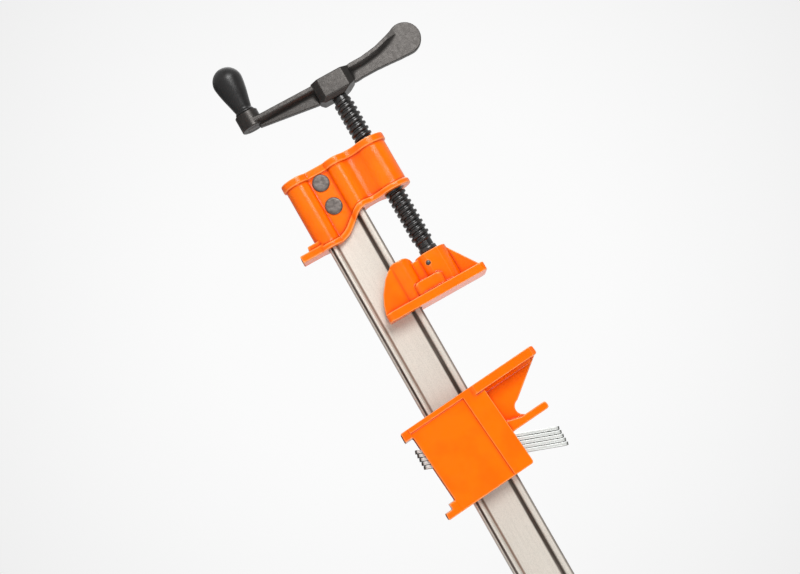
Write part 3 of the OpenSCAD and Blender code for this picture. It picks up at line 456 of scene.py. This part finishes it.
def barSection():
    b = barShape
    half, edge, n = b["width"] / 2, b["edge"], b["arcSteps"]
    top = (b["high"] - b["low"]) / 2
    inner = top - b["flange"]
    quarter = [(b["web"] / 2, 0.0)]
    quarter += arc(b["web"] / 2 + b["fillet"], inner - b["fillet"], b["fillet"], 180, 90, n)
    quarter += arc(half - edge, inner + edge, edge, -90, 0, n)
    quarter += arc(half - edge, top - edge, edge, 0, 90, n)
    right = [(y, -z) for y, z in reversed(quarter)][:-1] + quarter
    left = [(-y, z) for y, z in reversed(right)]
    return right + left


def barMesh():
    b = barShape
    section = barSection()
    middle = (b["low"] + b["high"]) / 2
    stations = [(b["from"], b["chamfer"]), (b["from"] + b["chamfer"], 0.0)]
    for s in range(1, b["spans"]):
        stations.append((b["from"] + (b["to"] - b["from"]) * s / b["spans"], 0.0))
    stations += [(b["to"] - b["chamfer"], 0.0), (b["to"], b["chamfer"])]
    points, faces, n = [], [], len(section)
    for x, inset in stations:
        shrinkY = 1 - 2 * inset / b["width"]
        shrinkZ = 1 - 2 * inset / (b["high"] - b["low"])
        points += [(x, y * shrinkY, middle + z * shrinkZ) for y, z in section]
    for k in range(len(stations) - 1):
        for i in range(n):
            j = (i + 1) % n
            faces.append((k * n + i, k * n + j, (k + 1) * n + j, (k + 1) * n + i))
    for k in (0, len(stations) - 1):
        loop = [Vector((0, y, z)) for y, z in section]
        faces += [tuple(k * n + i for i in tri) for tri in geometry.tessellate_polygon([loop])]
    return makeMesh("iBar", points, faces, b["crease"])


addPiece("iBar", barMesh(), "frame", "bar_plating", barPlating(), "i_bar")
print("stage 2: bar made")

# painted castings and the crank: the solids with rounded edges and filled corners; grain is the
# voxel size, and the two lifts tell sharp edges and creases from broad rises and hollows
castings = {"head_casting": {"name": "headCasting", "body": "frame", "slot": "orange_paint",
                             "finish": paint, "grain": 0.55, "rounds": 12, "lean": 0.0},
            "pressure_pad": {"name": "pressurePad", "body": "pad", "slot": "orange_paint",
                             "finish": paint, "grain": 0.5, "rounds": 12, "lean": 0.0},
            "tail_jaw": {"name": "tailJaw", "body": "tail_jaw", "slot": "orange_paint",
                         "finish": paint, "grain": 0.45, "rounds": 12, "lean": 4.5},
            "crank_handle": {"name": "crankHandle", "body": "screw", "slot": "black_iron",
                             "finish": iron, "grain": 0.45, "rounds": 5, "lean": 0.0}}
liftMarks = {"fineLift": {"rounds": 8, "reach": 0.4}, "broadLift": {"rounds": 160, "reach": 1.5}}
weldWithin = 1e-6  # metres


# the mesh smoothed over some rounds, after its skin is made again from voxels where a size is given
def smoothed(mesh, factor, rounds, voxel=None):
    maker = bpy.data.objects.new("maker", mesh)
    scene.collection.objects.link(maker)
    if voxel:
        skin = maker.modifiers.new("skin", "REMESH")
        skin.mode = "VOXEL"
        skin.voxel_size = voxel
    soft = maker.modifiers.new("soft", "SMOOTH")
    soft.factor = factor
    soft.iterations = rounds
    shaped = maker.evaluated_get(bpy.context.evaluated_depsgraph_get())
    made = bpy.data.meshes.new_from_object(shaped)
    bpy.data.objects.remove(maker)
    return made


# marks how far each point stands out from the same mesh smoothed over some rounds
def markLift(mesh, name, rounds, reach):
    worn = smoothed(mesh, factor=1.0, rounds=rounds)
    before, after, out = (np.empty(3 * len(mesh.vertices)) for _ in range(3))
    mesh.vertices.foreach_get("co", before)
    worn.vertices.foreach_get("co", after)
    mesh.vertices.foreach_get("normal", out)
    bpy.data.meshes.remove(worn)
    sunk = ((after - before) * out).reshape(-1, 3).sum(axis=1) / (reach * mm)
    mark = mesh.attributes.new(name, "FLOAT", "POINT")
    mark.data.foreach_set("value", 0.5 - 0.5 * np.clip(sunk, -1.0, 1.0))


# a leaning casting is turned upright first, so that the voxels lie along its faces
def roundedCopy(nodeName, feel):
    mesh = cadNodes[nodeName].data.copy()
    work = bmesh.new()
    work.from_mesh(mesh)
    bmesh.ops.remove_doubles(work, verts=work.verts, dist=weldWithin)
    work.to_mesh(mesh)
    work.free()
    lean = Matrix.Rotation(math.radians(feel["lean"]), 4, "Y")
    mesh.transform(lean)
    made = smoothed(mesh, factor=0.5, rounds=feel["rounds"], voxel=feel["grain"] * mm)
    bpy.data.meshes.remove(mesh)
    made.transform(lean.inverted())
    made.polygons.foreach_set("use_smooth", [True] * len(made.polygons))
    for name, mark in liftMarks.items():
        markLift(made, name, mark["rounds"], mark["reach"])
    print("  ", nodeName, "rounded to", len(made.polygons), "faces")
    return made


for nodeName, casting in castings.items():
    addPiece(casting["name"], roundedCopy(nodeName, casting), casting["body"], casting["slot"],
             casting["finish"], nodeName)
print("stage 3: castings made")

# rivets: a hammered head on each side of the head casting, rows of (over the seat, radius)
rivetShape = {"rear": {"x": -54.0, "seed": 3.1}, "front": {"x": -29.7, "seed": 8.7}, "z": 49.85,
              "seat": 7.95, "shank": 3.95, "crown": 1.74, "sides": 56, "crease": 50.0,
              "head": [(0.0, 8.0), (0.5, 8.1), (1.05, 8.05), (1.5, 7.7), (1.78, 7.0), (1.88, 6.0),
                       (1.84, 4.0), (1.76, 2.0)],
              "outOfRound": {"share": 0.022, "around": 1.3, "along": 0.2},
              "dents": {"deep": 0.10, "across": 0.35, "over": 1.2}}


def rivetMesh(name, rivet):
    r, seed = rivetShape, rivet["seed"]
    uneven, dents = r["outOfRound"], r["dents"]
    half = [(r["seat"] + along, radius) for along, radius in r["head"]]
    tip = r["seat"] + r["crown"]
    profile = [(-tip, 0.0)] + [(-a, rad) for a, rad in reversed(half)]
    profile += [(-r["seat"], r["shank"]), (r["seat"], r["shank"])] + half + [(tip, 0.0)]

    def hammered(along, angle):
        around = uneven["around"]
        where = Vector((math.cos(angle) * around + seed, math.sin(angle) * around,
                        along * uneven["along"]))
        return 1 + uneven["share"] * noise.noise(where)

    def dented(x, y, z):
        if abs(x) <= r["seat"] + dents["over"]:
            return x
        where = Vector((y * dents["across"], z * dents["across"], seed))
        return x + dents["deep"] * noise.noise(where)

    points, faces = turned(profile, r["sides"], hammered)
    points = [(dented(x, y, z), y, z) for x, y, z in points]
    return makeMesh(name, carried(points, acrossBar, (rivet["x"], 0, r["z"])), faces, r["crease"])


addPiece("headRivetRear", rivetMesh("headRivetRear", rivetShape["rear"]), "frame", "raw_steel",
         rivetSteel, "head_rivet_rear")
addPiece("headRivetFront", rivetMesh("headRivetFront", rivetShape["front"]), "frame", "raw_steel",
         rivetSteel, "head_rivet_front")

# stop pin and pad pin: plain rods across the bar with broken ends
pinShape = {"stop": {"x": 754.0, "z": 49.85, "r": 3.0, "half": 11.0, "break": 0.6},
            "pad": {"x": 58.9, "z": 98.4, "r": 2.0, "half": 14.25, "break": 0.3},
            "bend": 0.35, "sides": 40, "crease": 50.0}


def pinMesh(name, pin):
    e, half, r = pin["break"], pin["half"], pin["r"]
    bend = pinShape["bend"] * e
    profile = [(-half, 0.0), (-half, r - e), (-half + bend, r - bend), (-half + e, r)]
    profile += [(-a, rad) for a, rad in reversed(profile)]
    points, faces = turned(profile, pinShape["sides"])
    return makeMesh(name, carried(points, acrossBar, (pin["x"], 0, pin["z"])), faces,
                    pinShape["crease"])


addPiece("barStopPin", pinMesh("barStopPin", pinShape["stop"]), "frame", "raw_steel", rivetSteel,
         "bar_stop_pin")
addPiece("padPin", pinMesh("padPin", pinShape["pad"]), "pad", "raw_steel", pinSteel, "pad_pin")

# screw: one right-hand thread with rounded crests, the core under it, a collar and journal for
# the pad, and the peened end behind the hub; ridge is rows of (share of the pitch, of the depth),
# slope is rows of (place from the collar's start, radius)
screwShape = {"z": 105.4, "start": -116.175, "pitch": 5.3, "turns": 29, "steps": 44, "root": 7.45,
              "depth": 1.9, "core": 7.43, "coreFrom": -117.4, "coreTo": 44.25, "collar": 8.6,
              "collarFrom": 44.05, "collarTo": 49.05, "broken": 0.4, "journal": 6.9,
              "journalTo": 67.4, "collarSides": 56, "peenSides": 40, "crease": 60.0,
              "ridge": [(0.0, 0.0), (0.05, 0.06), (0.17, 0.86), (0.23, 0.98), (0.30, 1.0),
                        (0.49, 1.0), (0.55, 0.98), (0.61, 0.86), (0.73, 0.06), (0.78, 0.0)],
              "slope": [(-0.3, 7.43), (0.0, 7.7), (0.5, 8.35), (0.8, 8.6)],
              "peen": [(-142.0, 0.0), (-142.0, 3.0), (-141.8, 4.6), (-141.2, 6.2), (-140.4, 7.2),
                       (-140.0, 7.4), (-140.0, 4.6), (-117.6, 4.6), (-117.4, 7.43)]}


def screwMesh():
    s = screwShape
    total, ridge = s["turns"] * s["steps"], s["ridge"]
    points, faces, n = [], [], len(ridge)
    for i in range(total + 1):
        angle = 2 * math.pi * i / s["steps"]
        fade = min(1.0, 2 * i / s["steps"], 2 * (total - i) / s["steps"])
        for share, depth in ridge:
            r = s["root"] + s["depth"] * depth * fade
            points.append((s["start"] + s["pitch"] * (i / s["steps"] + share),
                           r * math.cos(angle), r * math.sin(angle)))
    for i in range(total):
        for k in range(n - 1):
            faces.append((i * n + k, i * n + k + 1, (i + 1) * n + k + 1, (i + 1) * n + k))
        ahead = i + s["steps"]
        if ahead < total:
            faces.append((i * n + n - 1, ahead * n, (ahead + 1) * n, (i + 1) * n + n - 1))
    core = turned([(s["coreFrom"], s["core"]), (s["coreTo"], s["core"])], s["steps"])
    rows = [(s["collarFrom"] + at, radius) for at, radius in s["slope"]]
    rows += [(s["collarTo"] - s["broken"], s["collar"]), (s["collarTo"], s["collar"] - s["broken"]),
             (s["collarTo"], s["journal"]), (s["journalTo"], s["journal"]), (s["journalTo"], 0.0)]
    collar = turned(rows, s["collarSides"])
    peen = turned(s["peen"], s["peenSides"])
    points, faces = joined((points, faces), core, collar, peen)
    return makeMesh("clampScrew", lifted(points, s["z"]), faces, s["crease"])


addPiece("clampScrew", screwMesh(), "screw", "oxide_steel", oxide, "clamp_screw")

# knob: turned bulb on a tapered neck, bored for its spindle, with a pocket for the spindle's head;
# taper is rows of (share of the length, share from neck to bulb), lip of (place from the crank's
# end, radius)
knobShape = {"outer": -195.75, "length": 48.5, "z": 21.8, "bulb": 14.3, "neck": 8.2, "bore": 4.1,
             "boreDeep": 34.65, "pocket": 5.7, "pocketDeep": 38.35, "sides": 72, "bulbStep": 6,
             "easeSteps": 4, "crease": 50.0,
             "taper": [(0.33, 0.975), (0.40, 0.90), (0.48, 0.79), (0.58, 0.63), (0.67, 0.45),
                       (0.77, 0.26), (0.86, 0.10)],
             "lip": [(-4.2, 8.2), (-2.9, 8.45), (-1.8, 9.15), (-1.1, 9.3), (-0.5, 9.2), (0.0, 8.7)]}


def knobMesh():
    k = knobShape
    angles = [math.radians(a) for a in range(0, 90 + k["bulbStep"], k["bulbStep"])]
    bulb = [(k["bulb"] * (1 - math.cos(a)), k["bulb"] * math.sin(a)) for a in angles]
    end, reach = k["length"], k["bulb"] - k["neck"]
    rest = [(at * end, k["neck"] + share * reach) for at, share in k["taper"]]
    rest += [(end + at, radius) for at, radius in k["lip"]]
    profile = bulb + eased([bulb[-1]] + rest, k["easeSteps"])[1:]
    shoulder, bottom = end - k["boreDeep"], end - k["pocketDeep"]
    profile += [(end, k["bore"]), (shoulder, k["bore"]), (shoulder, k["pocket"]),
                (bottom, k["pocket"]), (bottom, 0.0)]
    points, faces = turned(profile, k["sides"])
    points = [(x + k["outer"], y, z) for x, y, z in points]
    return makeMesh("knob", lifted(points, k["z"]), faces, k["crease"])


addPiece("turnedKnob", knobMesh(), "knob", "black_plastic", plastic, "knob")

# spindle: a head inside the knob, a plain shank, and a peened end behind the crank's boss
spindleShape = {"z": 21.8, "sides": 48, "crease": 40.0,
                "profile": [(-185.25, 0.0), (-185.25, 5.2), (-184.9, 5.6), (-182.4, 5.6),
                            (-182.25, 5.2), (-182.25, 4.0), (-133.9, 4.0), (-131.9, 5.9),
                            (-131.6, 6.1), (-131.35, 5.4), (-131.2, 3.5), (-131.15, 0.0)]}


def spindleMesh():
    s = spindleShape
    points, faces = turned(s["profile"], s["sides"])
    return makeMesh("knobSpindle", lifted(points, s["z"]), faces, s["crease"])


addPiece("knobSpindle", spindleMesh(), "screw", "raw_steel", pinSteel, "knob_spindle")
print("stage 4: rivets, pins, screw and knob made")

# clutch discs: stamped plates with broken edges, slotted for the bar; a face is marked cutEnd or
# flatFace where it turns further toward that side than the share given
discShape = {"count": 5, "x": 231.2085, "z": 86.0, "pitch": 3.94, "lean": 20.0, "thick": 3.0,
             "width": 25.8, "low": -87.60, "high": 42.99, "corner": 3.5, "slotHalf": 8.35,
             "slotLow": -64.31, "slotHigh": -11.89, "slotCorner": 0.6, "broken": 0.10, "bend": 0.3,
             "slotBroken": 0.5, "steps": 8, "crease": 40.0, "cutEnd": 0.5, "flatFace": 0.8}


def roundedLoop(half, low, high, corner, steps):
    loop = []
    for cy, cv, start in ((half - corner, high - corner, 0), (corner - half, high - corner, 90),
                          (corner - half, low + corner, 180), (half - corner, low + corner, 270)):
        loop += arc(cy, cv, corner, start, start + 90, steps)
    return loop


def discLayers():
    d = discShape
    e, n, half = d["broken"], d["steps"], d["thick"] / 2
    bend = d["bend"] * e
    layers = []
    for at, inset in ((-half, e), (-half + bend, bend), (-half + e, 0.0),
                      (half - e, 0.0), (half - bend, bend), (half, e)):
        outside = roundedLoop(d["width"] / 2 - inset, d["low"] + inset, d["high"] - inset,
                              d["corner"] - inset, n)
        ease = d["slotBroken"] * inset
        inside = roundedLoop(d["slotHalf"] + ease, d["slotLow"] - ease, d["slotHigh"] + ease,
                             d["slotCorner"] + ease, n)
        layers.append((at, outside, inside))
    return layers


def discMesh(k):
    d = discShape
    layers = discLayers()
    points, faces, count = [], [], len(layers[0][1])
    for at, outside, inside in layers:
        points += [(at, y, v) for y, v in outside + inside]
    for row in range(len(layers) - 1):
        for loop in (0, count):
            for i in range(count):
                j = (i + 1) % count
                a = row * 2 * count + loop
                b = a + 2 * count
                faces.append((a + i, a + j, b + j, b + i))
    for row in (0, len(layers) - 1):
        loops = [[Vector((0, y, v)) for y, v in loop] for loop in layers[row][1:]]
        for tri in geometry.tessellate_polygon(loops):
            faces.append(tuple(row * 2 * count + i for i in tri))
    lean = Matrix.Rotation(math.radians(d["lean"]), 3, "Y")
    points = carried(points, lean, (d["x"] + k * d["pitch"], 0, d["z"]))
    mesh = makeMesh("clutchDisc%d" % (k + 1), points, faces, d["crease"])
    for mark, way in (("cutEnd", lean @ Vector((0, 0, 1))), ("flatFace", lean @ Vector((1, 0, 0)))):
        shares = [1.0 if abs(face.normal @ way) > d[mark] else 0.0 for face in mesh.polygons]
        mesh.attributes.new(mark, "FLOAT", "FACE").data.foreach_set("value", shares)
    return mesh


for k in range(discShape["count"]):
    addPiece("clutchDisc%d" % (k + 1), discMesh(k), "disc_%d" % (k + 1), "zinc_plating", zinc,
             "clutch_disc_%d" % (k + 1))

# spring between the last disc and the rear wall of the jaw
springShape = {"from": 226.55, "to": 254.15, "z": 18.9, "coil": 4.25, "wire": 0.75, "turns": 7,
               "steps": 28, "sides": 10, "startAngle": 90, "squeezed": 0.74, "crease": 60.0}


def springMesh():
    s = springShape
    n, sides, wire = s["turns"] * s["steps"], s["sides"], s["wire"]
    points, faces = [], []
    run = s["to"] - s["from"] - 2 * wire
    for i in range(n + 1):
        angle = math.radians(s["startAngle"]) + 2 * math.pi * i / s["steps"]
        for k in range(sides):
            b = 2 * math.pi * k / sides
            r = s["coil"] + wire * math.cos(b)
            points.append((s["from"] + wire + run * i / n + wire * math.sin(b),
                           r * math.cos(angle), r * math.sin(angle)))
    for i in range(n):
        for k in range(sides):
            j = (k + 1) % sides
            faces.append((i * sides + k, i * sides + j, (i + 1) * sides + j, (i + 1) * sides + k))
    faces.append(tuple(range(sides)))
    faces.append(tuple(n * sides + k for k in reversed(range(sides))))
    return makeMesh("clutchSpring", lifted(points, s["z"]), faces, s["crease"])


spring = addPiece("clutchSpring", springMesh(), "tail_jaw", "raw_steel", pinSteel, "clutch_spring")
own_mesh(spring)
print("stage 5: clutch made")

# camera at the photo's angle: the clamp is seen from the side, turned in the picture
shot = {"azimuth": 7.0, "elevation": -4.0, "distance": 1.430, "roll": 60.64,
        "target": (0.064, 0.0, 0.066), "lens": 70.65, "sensor": 36.0, "nearest": 0.01}


def placeCamera():
    a, e, roll = (math.radians(shot[key]) for key in ("azimuth", "elevation", "roll"))
    back = Vector((math.sin(a) * math.cos(e), -math.cos(a) * math.cos(e), math.sin(e)))
    right = Vector((math.cos(a), math.sin(a), 0))
    up = back.cross(right)
    across = math.cos(roll) * right + math.sin(roll) * up
    upward = math.cos(roll) * up - math.sin(roll) * right
    lens = bpy.data.cameras.new("shotCamera")
    lens.lens = shot["lens"]
    lens.sensor_width = shot["sensor"]
    lens.clip_start = shot["nearest"]
    camera = bpy.data.objects.new("shotCamera", lens)
    scene.collection.objects.link(camera)
    turn = Matrix((across, upward, back)).transposed().to_4x4()
    stand = Vector(shot["target"]) + back * shot["distance"]
    camera.matrix_world = Matrix.Translation(stand) @ turn
    scene.camera = camera
    return back, across, upward


back, across, upward = placeCamera()

# pale floor, seen from above only, because the camera stands below it
floorShape = {"tone": (0.86, 0.86, 0.86), "reach": 14.0, "level": -0.0004}


def placeFloor():
    mesh = bpy.data.meshes.new("paleFloor")
    reach, level = floorShape["reach"], floorShape["level"]
    corners = [(-reach, -reach), (reach, -reach), (reach, reach), (-reach, reach)]
    mesh.from_pydata([(x, y, level) for x, y in corners], [], [(0, 1, 2, 3)])
    floor = bpy.data.objects.new("paleFloor", mesh)
    scene.collection.objects.link(floor)
    pale = bpy.data.materials.new("pale_floor")
    pale.use_nodes = True
    tree = pale.node_tree
    tree.nodes.clear()
    out = tree.nodes.new("ShaderNodeOutputMaterial")
    chalk = tree.nodes.new("ShaderNodeBsdfDiffuse")
    chalk.inputs["Color"].default_value = floorShape["tone"] + (1.0,)
    clear = tree.nodes.new("ShaderNodeBsdfTransparent")
    side = tree.nodes.new("ShaderNodeNewGeometry")
    choose = tree.nodes.new("ShaderNodeMixShader")
    tree.links.new(side.outputs["Backfacing"], choose.inputs["Fac"])
    tree.links.new(chalk.outputs["BSDF"], choose.inputs[1])
    tree.links.new(clear.outputs["BSDF"], choose.inputs[2])
    tree.links.new(choose.outputs["Shader"], out.inputs["Surface"])
    mesh.materials.append(pale)
    return floor


# a studio that is pale behind the clamp and dim on the camera's side: rows of (share, level), where
# the share is 1 straight toward the camera and -1 straight away, the other way round for shown;
# mirrored is how much of shown a reflection sees; lamps stand at (across, upward, back) from the
# target, in metres
studio = {"shown": [(0.80, 0.71), (0.945, 0.84), (0.995, 0.97)],
          "fill": [(-0.6, 0.50), (0.1, 0.26), (0.8, 0.15)],
          "mirrored": [(-0.1, 1.0), (0.45, 0.0)],
          "sky": {"strength": 1.7, "spread": 70.0, "turn": (12.0, 18.0, 0.0)},
          "lamps": {"keyPanel": {"at": (0.28, 1.70, 1.80), "size": 1.2, "watts": 34.0},
                    "frontPanel": {"at": (0.50, -0.65, 1.60), "size": 0.6, "watts": 6.0},
                    "crankPanel": {"at": (-0.03, 0.48, 0.52), "size": 0.22, "watts": 1.3},
                    "rightPanel": {"at": (0.85, -1.00, 1.00), "size": 0.9, "watts": 8.0},
                    "backPanel": {"at": (-0.2, 0.9, -1.1), "size": 1.2, "watts": 5.0}}}


def placeBackdrop():
    world = bpy.data.worlds.new("studio")
    scene.world = world
    world.use_nodes = True
    tree = world.node_tree
    tree.nodes.clear()
    out = tree.nodes.new("ShaderNodeOutputWorld")
    ray = tree.nodes.new("ShaderNodeLightPath")
    way = tree.nodes.new("ShaderNodeTexCoord")
    toward = tree.nodes.new("ShaderNodeVectorMath")
    toward.operation = "DOT_PRODUCT"
    toward.inputs[1].default_value = back
    tree.links.new(way.outputs["Generated"], toward.inputs[0])

    def graded(stops, flip=1.0):
        share = tree.nodes.new("ShaderNodeMapRange")
        share.inputs["From Min"].default_value = -flip
        share.inputs["From Max"].default_value = flip
        tree.links.new(toward.outputs["Value"], share.inputs["Value"])
        rows = [((at + 1) / 2, level) for at, level in stops]
        return greyRamp(tree, share.outputs["Result"], rows)

    def joinRays(kind, first, second):
        node = tree.nodes.new("ShaderNodeMath")
        node.operation = kind
        tree.links.new(first, node.inputs[0])
        tree.links.new(second, node.inputs[1])
        return node.outputs[0]

    fill = tree.nodes.new("ShaderNodeBackground")
    tree.links.new(graded(studio["fill"]), fill.inputs["Color"])
    shown = tree.nodes.new("ShaderNodeBackground")
    tree.links.new(graded(studio["shown"], -1.0), shown.inputs["Color"])
    mirrored = joinRays("MULTIPLY", ray.outputs["Is Glossy Ray"], graded(studio["mirrored"]))
    straight = joinRays("MAXIMUM", ray.outputs["Is Camera Ray"], ray.outputs["Is Transmission Ray"])
    choose = tree.nodes.new("ShaderNodeMixShader")
    tree.links.new(joinRays("MAXIMUM", straight, mirrored), choose.inputs["Fac"])
    tree.links.new(fill.outputs["Background"], choose.inputs[1])
    tree.links.new(shown.outputs["Background"], choose.inputs[2])
    tree.links.new(choose.outputs["Shader"], out.inputs["Surface"])


# the lamps stand low about the clamp, so they light only the clamp, and an even sky the floor
def litOnly(name, light, things):
    lamp = bpy.data.objects.new(name, light)
    scene.collection.objects.link(lamp)
    lit = bpy.data.collections.new(name + "Lights")
    for thing in things:
        lit.objects.link(thing)
    lamp.light_linking.receiver_collection = lit
    return lamp


def placeLamps(floor):
    middle = Vector(shot["target"])
    for name, panel in studio["lamps"].items():
        light = bpy.data.lights.new(name, "AREA")
        light.shape = "SQUARE"
        light.size = panel["size"]
        light.energy = panel["watts"]
        lamp = litOnly(name, light, clampPieces)
        side, lift, near = panel["at"]
        lamp.location = middle + across * side + upward * lift + back * near
        lamp.rotation_euler = (lamp.location - middle).to_track_quat("Z", "Y").to_euler()
    sky = bpy.data.lights.new("floorSky", "SUN")
    sky.energy = studio["sky"]["strength"]
    sky.angle = math.radians(studio["sky"]["spread"])
    overhead = litOnly("floorSky", sky, [floor])
    overhead.rotation_euler = [math.radians(turn) for turn in studio["sky"]["turn"]]


placeBackdrop()
floor = placeFloor()
placeLamps(floor)
scene.view_settings.view_transform = "Standard"
print("stage 6: camera, floor and light placed")
